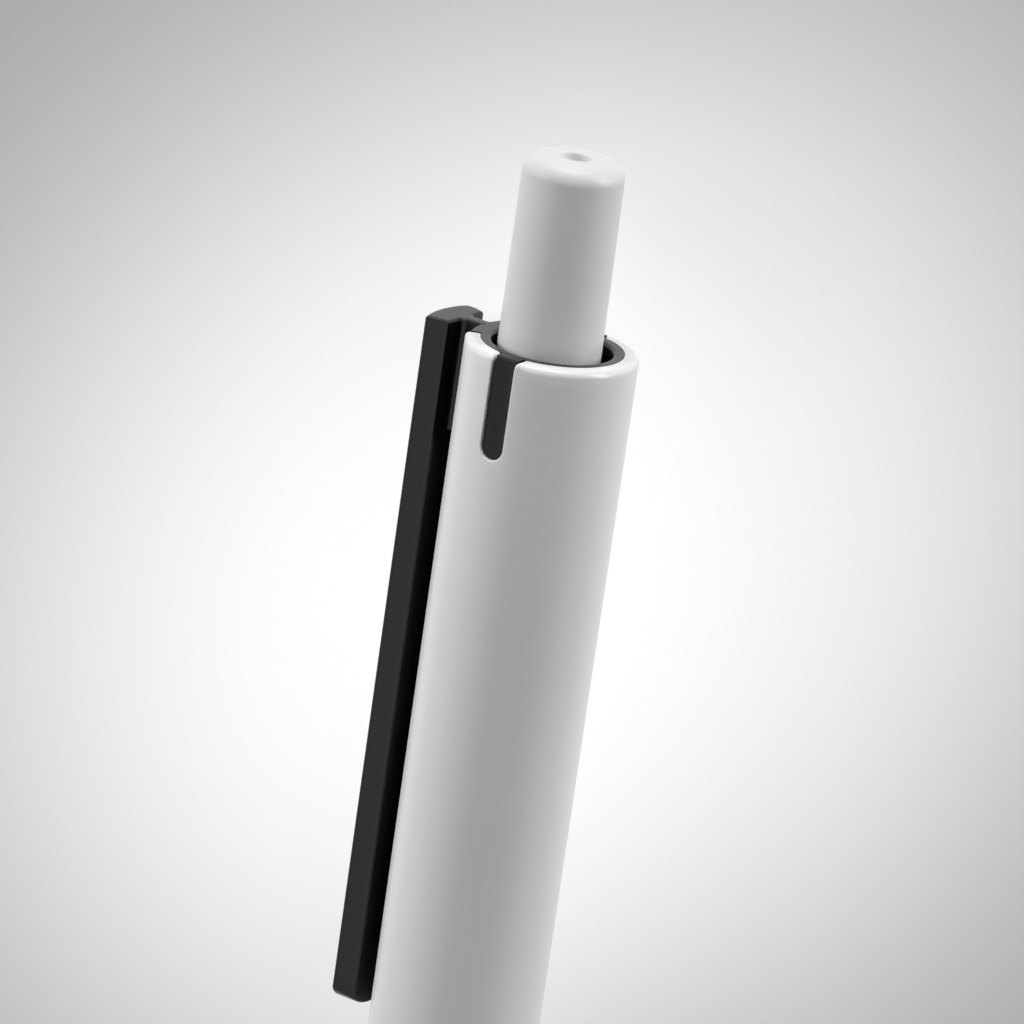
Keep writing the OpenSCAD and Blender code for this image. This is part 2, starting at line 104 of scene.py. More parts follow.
def span(node):
    """Lowest and highest place of a CAD node along the pen's axis."""
    low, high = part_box(node)
    return (low.x - PEN.translation.x) / MM, (high.x - PEN.translation.x) / MM


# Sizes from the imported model
BARREL_LOW = span("barrel")[0]
BARREL_R = (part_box("barrel")[1].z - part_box("barrel")[0].z) / MM / 2
NOSE_LOW, SPIGOT_HIGH = span("nose_cone")
SLEEVE_LOW = span("clip_sleeve")[0]
CLIP_LOW = span("clip_arm")[0]
BUTTON_LOW, BUTTON_HIGH = span("push_button")
TUBE_LOW, TUBE_HIGH = span("refill_tube")
INK_LOW, INK_HIGH = span("ink_column")
POINT_HIGH = span("ball_point")[1]
BALL_LOW, BALL_HIGH = span("writing_ball")
SPRING_LOW, SPRING_HIGH = span("return_spring")
CAM_LOW, CAM_HIGH = span("cam")

# Clearances
FIT = 0.04
POINT_FIT = 0.08
TUBE_FIT = 0.12
GUIDE_FIT = 0.12
SPRING_FIT = 0.16
END_FIT = 0.15

# Barrel and its slots
WALL = 0.9
SEAT_R = BARREL_R - WALL
BORE_STEP = 0.25
BORE_R = SEAT_R - BORE_STEP
RIM_ROUND = 0.45
PARTING_EDGE = 0.15
SLOT_EDGE = 0.09
SLOT_CORNER = 0.35
KEY_W = 1.55
KEY_DEPTH = 6.3
WIDE_SLOT_ANGLE = math.radians(52)
WIDE_SLOT_DEPTH = 8
WIDE_SLOT_ROUND = 0.5

# Clip sleeve
KEY_RECESS = 0.17
KEY_ROUND = 0.3
KEY_EDGE = 0.06
SLEEVE_R = SEAT_R - FIT
SLEEVE_WALL = 0.7
MOUTH_R = SEAT_R - SLEEVE_WALL
MOUTH_ROUND = 0.25
NECK_W = 1
NECK_LEN = 7
NECK_FILLET = 0.4

# Clip
CLIP_GAP = 1.05
CLIP_IN = BARREL_R + CLIP_GAP
CLIP_EDGE_T = 1.5
CLIP_EDGE = CLIP_IN + CLIP_EDGE_T
CLIP_CROWN = 0.4
CLIP_OUT = CLIP_EDGE + CLIP_CROWN
CLIP_HALF = 2.2
CLIP_HALF_IN = 1.9
CLIP_ROUND = 0.2
CLIP_END_R = 3
CLIP_END_ROUND = 1

# Click mechanism
STROKE = 7.5
TOOTH_COUNT = 8
TOOTH_PITCH = 2 * math.pi / TOOTH_COUNT
TOOTH_SLOPE = math.tan(math.radians(30))
LAND_R = 3.28
GROOVE_W = 1.2
GUIDE_R = MOUTH_R - GUIDE_FIT
SKIRT_LEN = 2
STOP_RING = 1.2
OVERSHOOT = 0.4
SPLINE_LEN = 3.2
FIN_LEN = 4
# How far a raised form reaches into what carries it
OVERLAP = 0.3

# Push button
BUTTON_R = 3.135
BUTTON_TOP_R = 3.065
BUTTON_ROUND = 1.1
BUTTON_WALL = 0.9
BUTTON_TOP_T = 1.8
DIMPLE_R = 0.95
DIMPLE_DEPTH = 0.6
# The button leans a little in its guide, within the play: which way, how far at the rim, and more per mm up
PLAY_TOWARDS = math.radians(31.65)
PLAY_AT_RIM = 0.16
LEAN = 0.007

# Nose cone
TIP_R = 1.85
TIP_ROUND = 0.4
TIP_INSET = 2.35
SPIGOT_WALL = 1
SEAT_PLACE = 12.35
FUNNEL_LEN = 4
BORE_SPARE = 0.5

# Refill and spring
TUBE_R = 1.5
TUBE_BORE_R = 1
EAR_PLACE = 30
EAR_LEN = 2.4
EAR_HALF = 0.3
POINT_R = 1.15
POINT_LEN = 10
SHANK_R = 0.96
SHANK_LEN = 3.5
CONE_LEN = 2.2
CHANNEL_R = 0.3
SOCKET_R = 0.53
BALL_R = 0.5
BALL_PROUD = 0.32
WIRE_R = 0.2
OPEN_COILS = 11
CLOSED_COILS = 1
CLOSED_PITCH = 0.85

# Fineness: columns round a turned piece, sides of the wire, the longest stretch of a fine outline
COLUMNS = 144
WIRE_SIDES = 12
FINE = 0.16
# A full round is drawn a hair under its half width, so that no flat of zero length stays between two
FULL_ROUND = 0.999
# Points nearer than this become one, in metres
WELD = 2e-7


# Outlines


def even_angles(count):
    """That many angles, evenly spread round a full turn."""
    return np.arange(count) * 2 * math.pi / count


def rounded(corners, steps=10, closed=True):
    """Outline through corners (x, y, radius): every corner with a radius becomes an arc."""
    points = [np.array(c[:2], float) for c in corners]
    out = []
    for i, corner in enumerate(corners):
        here, radius = points[i], corner[2] if len(corner) > 2 else 0
        ends = not closed and i in (0, len(corners) - 1)
        if radius <= 0 or ends:
            out.append(here)
            continue
        to_last, to_next = points[i - 1] - here, points[(i + 1) % len(points)] - here
        to_last, to_next = to_last / np.linalg.norm(to_last), to_next / np.linalg.norm(to_next)
        half = math.acos(np.clip(to_last @ to_next, -1, 1)) / 2
        middle = (to_last + to_next) / np.linalg.norm(to_last + to_next)
        centre = here + middle * radius / math.sin(half)
        first = here + to_last * radius / math.tan(half) - centre
        last = here + to_next * radius / math.tan(half) - centre
        turn = math.atan2(first[0] * last[1] - first[1] * last[0], first @ last)
        for k in range(steps + 1):
            cos, sin = math.cos(turn * k / steps), math.sin(turn * k / steps)
            x, y = cos * first[0] - sin * first[1], sin * first[0] + cos * first[1]
            out.append(centre + np.array([x, y]))
    same = 1e-4
    kept = [out[0]]
    for point in out[1:]:
        if np.linalg.norm(point - kept[-1]) > same:
            kept.append(point)
    if closed and np.linalg.norm(kept[0] - kept[-1]) < same:
        kept.pop()
    return np.array(kept)


def cut_up(path, longest, closed=True):
    """The same outline with no stretch longer than that."""
    out = []
    count = len(path) if closed else len(path) - 1
    for i in range(count):
        a, b = path[i], path[(i + 1) % len(path)]
        pieces = max(1, math.ceil(np.linalg.norm(b - a) / longest))
        out += [a + (b - a) * k / pieces for k in range(pieces)]
    if not closed:
        out.append(path[-1])
    return np.array(out)


def normals(path, closed=True):
    """Unit vectors to the left of an outline's direction, at each of its points."""
    if closed:
        ahead, behind = np.roll(path, -1, 0) - path, path - np.roll(path, 1, 0)
    else:
        step = np.diff(path, axis=0)
        ahead, behind = np.vstack([step, step[-1:]]), np.vstack([step[:1], step])
    ahead /= np.linalg.norm(ahead, axis=1)[:, None]
    behind /= np.linalg.norm(behind, axis=1)[:, None]
    left = ahead + behind
    left /= np.linalg.norm(left, axis=1)[:, None]
    return np.stack([-left[:, 1], left[:, 0]], 1)


def smooth_step(t):
    """0 up to 0, 1 from 1 on, and a smooth rise between."""
    t = np.clip(t, 0, 1)
    return t * t * (3 - 2 * t)


def point_inside(x, y, loop):
    """True if a point lies inside a closed loop."""
    a, b = loop, np.roll(loop, -1, 0)
    crosses = (a[:, 1] > y) != (b[:, 1] > y)
    with np.errstate(divide="ignore", invalid="ignore"):
        at = a[:, 0] + (y - a[:, 1]) * (b[:, 0] - a[:, 0]) / (b[:, 1] - a[:, 1])
    return bool(np.sum(crosses & (at > x)) % 2)


def kept_inside(points, loop, gap):
    """Those of the points that lie inside a loop and no nearer to it than a gap."""
    return np.array([
        (x, y) for x, y in points
        if point_inside(x, y, loop) and np.min(np.hypot(loop[:, 0] - x, loop[:, 1] - y)) > gap
    ])


def inner_points(loop, step):
    """An even grid of points inside a loop."""
    low, high = loop.min(0), loop.max(0)
    grid = [
        (x, y)
        for x in np.arange(low[0] + step / 2, high[0], step)
        for y in np.arange(low[1] + step / 2, high[1], step)
    ]
    return kept_inside(grid, loop, step / 2.5)


class Shape:
    """Points and faces in the pen's own frame, gathered from grids, fills and turned profiles."""

    def __init__(self):
        self.points = []
        self.faces = []
        self.count = 0

    def add(self, points, faces):
        """Points, and faces that number them from zero."""
        points = np.asarray(points, float).reshape(-1, 3)
        self.points.append(points)
        self.faces += [[int(i) + self.count for i in f] for f in faces]
        self.count += len(points)

    def grid(self, rows, wrap=False):
        """Quads between rows of points, all of one length; wrap closes each row on itself."""
        rows = np.asarray(rows, float)
        height, width = rows.shape[:2]
        across = width if wrap else width - 1
        faces = [
            (j * width + i, j * width + (i + 1) % width,
             (j + 1) * width + (i + 1) % width, (j + 1) * width + i)
            for j in range(height - 1) for i in range(across)
        ]
        self.add(rows, faces)

    def turned(self, profile, columns=COLUMNS, closed=True):
        """A profile of (radius, z) turned about the axis."""
        profile = np.asarray(profile, float)
        if closed:
            profile = np.vstack([profile, profile[:1]])
        angle = even_angles(columns)
        self.grid([ring(angle, r, z) for r, z in profile], wrap=True)

    def sector(self, angles, radii, lows, highs):
        """A closed block between two radii, over those angles, with a low and a high place at each."""
        rows = []
        for angle, low, high in zip(angles, lows, highs):
            cos, sin = math.cos(angle), math.sin(angle)
            corners = [(radii[0], low), (radii[1], low), (radii[1], high), (radii[0], high)]
            rows.append([(r * cos, r * sin, z) for r, z in corners])
        self.grid(rows, wrap=True)
        last = 4 * (len(rows) - 1)
        for first in (self.count - last - 4, self.count - 4):
            self.faces.append([first + k for k in range(4)])

    def fill(self, loop, inner, to_space, squeeze=1.0):
        """Triangles over the inside of a closed loop and through inner points, put in space by a
        function. They are laid out with y squeezed, where they should be longer that way."""
        points = np.vstack([loop, inner]) if len(inner) else loop
        flat = [Vector((x, y * squeeze)) for x, y in points]
        edges = [(i, (i + 1) % len(loop)) for i in range(len(loop))]
        inside_only, tolerance = 1, 1e-6
        found, _, faces, *_ = delaunay_2d_cdt(flat, edges, [], inside_only, tolerance)
        back = np.array([(v.x, v.y / squeeze) for v in found])
        self.add(to_space(back), faces)

    def build(self, name, sharp=38):
        """The Blender object, welded, smooth, with hard edges over that angle."""
        points = np.vstack(self.points)
        world = points @ PEN_ARRAY[:3, :3].T + PEN_ARRAY[:3, 3]
        mesh = bpy.data.meshes.new(name)
        mesh.from_pydata(world.tolist(), [], self.faces)
        edit = bmesh.new()
        edit.from_mesh(mesh)
        bmesh.ops.remove_doubles(edit, verts=edit.verts, dist=WELD)
        bmesh.ops.dissolve_degenerate(edit, edges=edit.edges, dist=WELD / 20)
        bmesh.ops.recalc_face_normals(edit, faces=edit.faces)
        edit.to_mesh(mesh)
        edit.free()
        mesh.validate()
        mesh.polygons.foreach_set("use_smooth", [True] * len(mesh.polygons))
        mesh.set_sharp_from_angle(angle=math.radians(sharp))
        made = bpy.data.objects.new(name, mesh)
        bpy.context.scene.collection.objects.link(made)
        weighted = made.modifiers.new("weighted_normals", "WEIGHTED_NORMAL")
        weighted.keep_sharp = True
        weighted.weight = 80
        return made


def ring(angle, r, z):
    """Points at those angles about the axis, at one radius, and at one height or a height each."""
    return np.stack([r * np.cos(angle), r * np.sin(angle), np.broadcast_to(z, len(angle))], 1)


def finish_piece(piece, body, slot, material, *nodes):
    """Gives a piece its material and its body, and hides the CAD nodes that it stands for. The slot is not
    used.
    """
    piece.data.materials.append(material)
    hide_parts(*nodes)
    if body:
        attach(piece, body)


# Materials: lengths in metres, as are the texture coordinates


def node_material(name):
    """A new material with its node tree and its shader."""
    material = bpy.data.materials.new(name)
    material.use_nodes = True
    tree = material.node_tree
    return material, tree, tree.nodes["Principled BSDF"]


def feed(tree, node, inputs):
    """Sets a node's inputs to values, or links them to other nodes' outputs. Returns the node."""
    for name, value in inputs.items():
        if isinstance(value, bpy.types.NodeSocket):
            tree.links.new(value, node.inputs[name])
        else:
            node.inputs[name].default_value = value
    return node


def add_node(tree, kind, inputs):
    """A new node with its inputs fed."""
    return feed(tree, tree.nodes.new(kind), inputs)


def noise(tree, scale, detail=3.0, stretch=(1, 1, 1)):
    """A noise texture over the object's own coordinates, in metres, so scale is per metre."""
    where = tree.nodes.new("ShaderNodeTexCoord").outputs["Object"]
    mapping = add_node(tree, "ShaderNodeMapping", {"Vector": where, "Scale": stretch})
    return add_node(tree, "ShaderNodeTexNoise", {
        "Vector": mapping.outputs["Vector"], "Scale": scale, "Detail": detail,
    }).outputs["Fac"]


def ramp(tree, factor, low, high):
    """A colour ramp between two colours."""
    made = tree.nodes.new("ShaderNodeValToRGB")
    for element, colour, position in zip(made.color_ramp.elements, (low, high), (0.3, 0.7)):
        element.color = (*colour, 1)
        element.position = position
    return feed(tree, made, {"Fac": factor}).outputs["Color"]


def spread(tree, factor, low, high, start=0.0, end=1.0):
    """A factor that goes from start to end, mapped to a range and held at its ends."""
    return add_node(tree, "ShaderNodeMapRange", {
        "Value": factor, "From Min": start, "From Max": end, "To Min": low, "To Max": high,
    }).outputs["Result"]


def surface(name, low, high, tone, rough, gloss):
    """A new material. Tone and gloss are the scale, detail and stretch of the noises that vary its
    colour from low to high and its roughness over a range."""
    material, tree, shader = node_material(name)
    feed(tree, shader, {
        "Base Color": ramp(tree, noise(tree, *tone), low, high),
        "Roughness": spread(tree, noise(tree, *gloss), *rough),
    })
    return material, tree, shader


def bump(tree, shader, height, strength, distance):
    """Turns a height, up to a distance, into the shader's normal."""
    made = add_node(tree, "ShaderNodeBump", {"Height": height, "Strength": strength, "Distance": distance})
    feed(tree, shader, {"Normal": made.outputs["Normal"]})


def plastic(name, low, high, rough, grain, grain_depth, ior=1.53, scatter=0.0):
    """Moulded plastic: a little colour and gloss variation and a fine grain."""
    material, tree, shader = surface(name, low, high, tone=(90, 4), rough=rough, gloss=(400, 3))
    bump(tree, shader, noise(tree, grain, 2), strength=0.5, distance=grain_depth)
    feed(tree, shader, {"IOR": ior})
    if scatter:
        feed(tree, shader, {
            "Subsurface Weight": scatter, "Subsurface Radius": (1.0, 0.9, 0.8),
            "Subsurface Scale": 0.0006,
        })
    return material


def metal(name, colour, rough, brush):
    """Turned or drawn metal with fine marks round or along the pen."""
    low = tuple(0.86 * c for c in colour)
    material, tree, shader = surface(name, low, colour, tone=(900, 3, brush), rough=rough,
                                     gloss=(2500, 2, brush))
    bump(tree, shader, noise(tree, 6000, 2, brush), strength=0.2, distance=0.00001)
    feed(tree, shader, {"Metallic": 1})
    return material


def ink_material():
    """Blue-black ink paste."""
    return surface("ink_paste", (0.006, 0.008, 0.05), (0.012, 0.016, 0.09), tone=(700, 3),
                   rough=(0.15, 0.3), gloss=(1500, 2))[0]


def refill_material():
    """Milky plastic that lets the ink show through faintly."""
    material, tree, shader = surface("refill_polypropylene", (0.80, 0.81, 0.80), (0.86, 0.86, 0.85),
                                     tone=(300, 3), rough=(0.28, 0.4), gloss=(1200, 2))
    bump(tree, shader, noise(tree, 2500, 2, (0.1, 1, 1)), strength=0.3, distance=0.00001)
    feed(tree, shader, {"Transmission Weight": 0.45, "IOR": 1.49})
    return material


WHITE = plastic("white_abs", (0.78, 0.78, 0.785), (0.81, 0.81, 0.815),
                rough=(0.27, 0.33), grain=1500, grain_depth=0.000004, scatter=0.08)
WHITE_BUTTON = plastic("white_abs_button", (0.70, 0.70, 0.705), (0.73, 0.73, 0.735),
                       rough=(0.38, 0.44), grain=1800, grain_depth=0.000004, scatter=0.08)
DARK = plastic("dark_abs", (0.004, 0.004, 0.0045), (0.006, 0.006, 0.0065),
               rough=(0.28, 0.36), grain=7000, grain_depth=0.00001, ior=1.45)
CAM_PLASTIC = plastic("dark_acetal", (0.02, 0.02, 0.022), (0.027, 0.027, 0.03),
                      rough=(0.33, 0.42), grain=2500, grain_depth=0.000006)
REFILL = refill_material()
INK = ink_material()
BRASS = metal("nickel_brass", (0.72, 0.6, 0.36), rough=(0.22, 0.34), brush=(12, 1, 1))
CARBIDE = metal("ball_carbide", (0.42, 0.42, 0.43), rough=(0.14, 0.22), brush=(1, 1, 1))
STEEL = metal("spring_steel", (0.6, 0.6, 0.61), rough=(0.22, 0.34), brush=(1, 1, 1))


# The barrel


def slot_centres():
    """Unrolled places of the two narrow slots' middles, a quarter turn either side of the clip."""
    quarter = BARREL_R * math.pi / 2
    return [-quarter, quarter]


def around(x, y, r):
    """A point of the unrolled wall put round the axis: x along the barrel's circumference, y along
    the pen, r from the axis. Near a narrow slot the wall's cuts run parallel, elsewhere to the axis."""
    margin, fade = 0.1, 0.6
    below, fade_below = 1.5, 1.2
    x, y, r = np.broadcast_arrays(np.asarray(x, float), np.asarray(y, float), np.asarray(r, float))
    angle = x / BARREL_R
    for centre in slot_centres():
        off = x - centre
        near = 1 - smooth_step((np.abs(off) - KEY_W / 2 - margin) / fade)
        near = near * smooth_step((y + KEY_DEPTH + below) / fade_below)
        parallel = np.arcsin(np.clip(BARREL_R * np.sin(off / BARREL_R) / r, -0.99, 0.99))
        angle = angle + near * (parallel - off / BARREL_R)
    return np.stack([r * np.cos(angle), r * np.sin(angle), y], -1)


def slot_dip(centre, half_width, depth, round_off):
    """Corners of the rim's line down into a slot and up again."""
    return [
        (centre - half_width, 0, SLOT_CORNER),
        (centre - half_width, -depth, round_off),
        (centre + half_width, -depth, round_off),
        (centre + half_width, 0, SLOT_CORNER),
    ]


def rim_path():
    """The unrolled line of the barrel's rim, down into each slot and up again, from -X to +X."""
    end = BARREL_R * math.pi
    wide = BARREL_R * WIDE_SLOT_ANGLE / 2
    half = BARREL_R * math.asin(KEY_W / 2 / BARREL_R)
    left, right = slot_centres()
    corners = [
        (-end, 0),
        *slot_dip(left, half, KEY_DEPTH, half * FULL_ROUND),
        *slot_dip(0, wide, WIDE_SLOT_DEPTH, WIDE_SLOT_ROUND),
        *slot_dip(right, half, KEY_DEPTH, half * FULL_ROUND),
        (end, 0),
    ]
    return cut_up(rounded(corners, 12, closed=False), FINE, closed=False)


def rim_fillets(path):
    """Rounding of the wall's outer edge at each point of the rim's line: wide on the rim, fine in
    the slots, and blended over a short reach."""
    corner_round, reach = 0.2, 0.28
    on_rim = path[:, 1] > -1e-3
    size = np.where(on_rim, RIM_ROUND, SLOT_EDGE)
    size = np.where(~on_rim & (path[:, 1] > -SLOT_CORNER), corner_round, size)
    length = np.concatenate([[0], np.cumsum(np.linalg.norm(np.diff(path, axis=0), axis=1))])
    weight = np.exp(-((length[:, None] - length[None, :]) / reach) ** 2)
    weight *= np.gradient(length)[None, :]
    return (weight @ size) / weight.sum(1)


def wall_ring(shape, path, left, fillets, inner_r, outer_r, to_space, closed=False, steps=6):
    """The wall's cut edge and its rounded outer edge. Returns the line where the rounding ends."""
    rows = [to_space(path[:, 0], path[:, 1], inner_r)]
    for k in np.linspace(0, 1, 5)[1:-1]:
        rows.append(to_space(path[:, 0], path[:, 1], inner_r + k * (outer_r - fillets - inner_r)))
    for a in np.linspace(0, math.pi / 2, steps + 1):
        line = path + left * (fillets * (1 - math.cos(a)))[:, None]
        rows.append(to_space(line[:, 0], line[:, 1], outer_r - fillets * (1 - math.sin(a))))
    shape.grid(rows, wrap=closed)
    return line


def barrel():
    """White tube: a fine mesh of its slotted upper end, and a turned lower end with its seats."""
    shape = Shape()
    low, step = -10.0, 0.8
    path = rim_path()
    left = -normals(path, closed=False)
    line = wall_ring(shape, path, left, rim_fillets(path), SEAT_R, BARREL_R, around)
    end = BARREL_R * math.pi
    column = 2 * end / COLUMNS
    bottom = np.array([(end - i * column, low) for i in range(COLUMNS + 1)])
    seam = np.arange(low + step, -1, step)
    seam_down = np.array([(end, y) for y in seam[::-1]])
    seam_up = np.array([(-end, y) for y in seam])
    grid = [(x, y) for x in bottom[1:-1, 0] for y in np.arange(low + step, -0.3, step)]
    for edge, radius in ((line, BARREL_R), (path, SEAT_R)):
        loop = np.vstack([edge, seam_down, bottom, seam_up])
        inner = kept_inside(grid, loop, gap=0.14)
        shape.fill(loop, inner, lambda p, r=radius: around(p[:, 0], p[:, 1], r), squeeze=0.45)
    spigot = SPIGOT_HIGH + FIT
    sleeve_seat = SLEEVE_LOW - FIT
    profile = rounded([
        (SEAT_R, low), (SEAT_R, sleeve_seat), (BORE_R, sleeve_seat, 0.05), (BORE_R, spigot, 0.05),
        (SEAT_R, spigot), (SEAT_R, BARREL_LOW, 0.1), (BARREL_R, BARREL_LOW, PARTING_EDGE),
        (BARREL_R, low),
    ], 6, closed=False)
    angle = bottom[:-1, 0] / BARREL_R
    rows = [ring(angle, r, z) for r, z in cut_up(profile, 6, closed=False)]
    shape.grid(rows, wrap=True)
    finish_piece(shape.build("barrel_shell"), "housing", "white_shell", WHITE, "barrel")


# The nose cone


def ogive():
    """The cone's outside from the barrel down, and the arc round its tip, as (radius, z)."""
    length, drop = BARREL_LOW - NOSE_LOW, BARREL_R - TIP_R
    curve = (length ** 2 + drop ** 2) / (2 * drop)
    centre = BARREL_R - curve
    turn = -math.asin((length - TIP_ROUND) / (curve - TIP_ROUND))
    outside = [
        (centre + curve * math.cos(a), BARREL_LOW + curve * math.sin(a))
        for a in np.linspace(0, turn, 60)
    ]
    outside = [p for p in outside if p[1] < BARREL_LOW - PARTING_EDGE]
    tip_x, tip_z = centre + (curve - TIP_ROUND) * math.cos(turn), NOSE_LOW + TIP_ROUND
    tip = [
        (tip_x + TIP_ROUND * math.cos(a), tip_z + TIP_ROUND * math.sin(a))
        for a in np.linspace(turn, -math.pi / 2, 12)
    ]
    return outside, tip


def nose_cone():
    """White tip: an ogive outside, and the seats of the spring, the tube and the point inside."""
    outside, tip = ogive()
    spigot_r = SEAT_R - FIT
    spigot_in = spigot_r - SPIGOT_WALL
    hole_r, guide_r = POINT_R + POINT_FIT, TUBE_R + TUBE_FIT
    spring_r = TUBE_R + SPRING_FIT * 2 + WIRE_R * 2
    seat = NOSE_LOW + SEAT_PLACE
    shoulder = NOSE_LOW + TIP_INSET + POINT_LEN - STROKE - BORE_SPARE
    funnel = BARREL_LOW - FUNNEL_LEN
    top = rounded([
        (spring_r, funnel), (spigot_in, BARREL_LOW, 0.4), (spigot_in, SPIGOT_HIGH, 0.2),
        (spigot_r, SPIGOT_HIGH, 0.3), (spigot_r, BARREL_LOW), (BARREL_R - PARTING_EDGE, BARREL_LOW),
        (BARREL_R, BARREL_LOW - PARTING_EDGE),
    ], 5, closed=False)
    bottom = rounded([
        (tip[-1][0], NOSE_LOW), (hole_r, NOSE_LOW, 0.12), (hole_r, shoulder), (guide_r, shoulder),
        (guide_r, seat), (spring_r, seat), (spring_r, funnel),
    ], 5, closed=False)
    shape = Shape()
    shape.turned(np.vstack([top, outside, tip, bottom[1:-1]]))
    finish_piece(shape.build("nose_shell"), "housing", "white_shell", WHITE, "nose_cone")


# The clip sleeve


def patch(shape, outline, root_r, top_r, fillets, to_space):
    """A raised patch: an outline on the unrolled wall, from one radius up to another, with a
    rounded edge."""
    across, along = 0.23, 0.6
    line = wall_ring(shape, outline, normals(outline), fillets, root_r, top_r, to_space,
                     closed=True, steps=5)
    for edge, radius in ((line, top_r), (outline, root_r)):
        low, high = edge.min(0), edge.max(0)
        grid = [
            (x, y)
            for x in np.arange(low[0] + 0.15, high[0], across)
            for y in np.arange(low[1] + along / 2, high[1], along)
        ]
        inner = kept_inside(grid, edge, gap=0.1)
        shape.fill(edge, inner, lambda p, r=radius: to_space(p[:, 0], p[:, 1], r), squeeze=0.5)


def key_outline(centre, half, depth, round_off):
    """A key's outline on the unrolled wall, anticlockwise: flat at the rim, rounded below."""
    return cut_up(rounded([
        (centre + half, 0), (centre - half, 0), (centre - half, -depth, round_off),
        (centre + half, -depth, round_off),
    ], 12), FINE)


def sleeve():
    """Dark sleeve with its keys, the guide lands and the ring that stops the button."""
    shape = Shape()
    mouth = rounded([
        (SLEEVE_R, SLEEVE_LOW, 0.1), (SLEEVE_R, 0), (MOUTH_R, 0, MOUTH_ROUND),
        (MOUTH_R, SLEEVE_LOW, 0.1),
    ], 10)
    shape.turned(cut_up(mouth, 4))
    narrow = BARREL_R * math.asin((KEY_W / 2 - FIT) / BARREL_R)
    wide = BARREL_R * WIDE_SLOT_ANGLE / 2 - FIT
    keys = [(centre, narrow, KEY_DEPTH - FIT, narrow * FULL_ROUND) for centre in slot_centres()]
    keys.append((0, wide, WIDE_SLOT_DEPTH - FIT, WIDE_SLOT_ROUND))
    rim_reach = 0.5
    for key in keys:
        outline = key_outline(*key)
        at_rim = smooth_step((outline[:, 1] + rim_reach) / rim_reach)
        fillets = KEY_EDGE + (KEY_ROUND - KEY_EDGE) * at_rim
        patch(shape, outline, SLEEVE_R, BARREL_R - KEY_RECESS, fillets, around)
    guide_lands(shape)
    finish_piece(shape.build("clip_sleeve_moulding"), "housing", "dark_clip", DARK, "clip_sleeve")


def guide_lands(shape):
    """Four pairs of lands with saw teeth below, joined above by the stop ring."""
    groove_half = math.asin(GROOVE_W / 2 / MOUTH_R)
    low = SLEEVE_LOW + SKIRT_LEN
    top = BUTTON_LOW + SPLINE_LEN + END_FIT
    ramp_share = 0.93
    rise = TOOTH_PITCH * (MOUTH_R + LAND_R) / 2 * TOOTH_SLOPE * ramp_share
    for k in range(TOOTH_COUNT // 2):
        start = k * math.pi / 2 + groove_half
        angles = np.linspace(start, start + math.pi / 2 - 2 * groove_half, 41)
        saw = ((angles - start) / TOOTH_PITCH) % 1.0
        tops = [top + OVERLAP] * len(angles)
        shape.sector(angles, (LAND_R, MOUTH_R + OVERLAP), low + saw * rise, tops)
    shape.turned(rounded([
        (LAND_R, top, 0.1), (MOUTH_R + OVERLAP, top), (MOUTH_R + OVERLAP, top + STOP_RING),
        (MOUTH_R, top + STOP_RING), (LAND_R, top + STOP_RING / 2, 0.1),
    ], 4))


# The clip with its neck


def clip_outline():
    """Plan of the clip and its neck, anticlockwise from the neck's root: X away from the axis, Y across.
    The crown is an arc, its near edge is crisp and its far edge is softer."""
    crown_r = (CLIP_HALF ** 2 + CLIP_CROWN ** 2) / (2 * CLIP_CROWN)
    crown_half = 1.75
    turn = math.asin(crown_half / crown_r)
    crown_arc = [
        (CLIP_OUT - crown_r + crown_r * math.cos(a), crown_r * math.sin(a))
        for a in np.linspace(-turn, turn, 21)
    ]
    root = BARREL_R - KEY_RECESS - KEY_ROUND
    half = NECK_W / 2
    near, far = -CLIP_HALF + 0.01, CLIP_HALF + 0.02
    middle = CLIP_IN + CLIP_EDGE_T / 2
    return [
        (root, -half), (CLIP_IN, -half, NECK_FILLET), (CLIP_IN, -CLIP_HALF_IN, CLIP_ROUND),
        (middle, near, 0.9), (CLIP_EDGE - 0.05, near, 0.4), *crown_arc[1:-1],
        (CLIP_EDGE + 0.005, far, CLIP_ROUND), (CLIP_IN, CLIP_HALF_IN, CLIP_ROUND),
        (CLIP_IN, half, NECK_FILLET), (root, half),
    ]


def clip_end(y):
    """Where the clip ends along the pen, at a place across it: an arc with rounded corners."""
    y = np.abs(np.asarray(y, float))
    arc = CLIP_LOW + CLIP_END_R - np.sqrt(np.maximum(CLIP_END_R ** 2 - y ** 2, 0))
    inset = CLIP_HALF - CLIP_END_ROUND
    reach = CLIP_END_R - CLIP_END_ROUND
    drop = math.sqrt(max(reach ** 2 - inset ** 2, 0))
    bend = np.sqrt(np.maximum(CLIP_END_ROUND ** 2 - (y - inset) ** 2, 0))
    corner = CLIP_LOW + CLIP_END_R - drop - bend
    touch = inset * CLIP_END_R / reach
    return np.where(y > touch, corner, arc)


def flat_row(line, z):
    """A plan's points at one height along the pen, or at a height each."""
    return np.stack([line[:, 0], line[:, 1], np.broadcast_to(z, len(line))], 1)


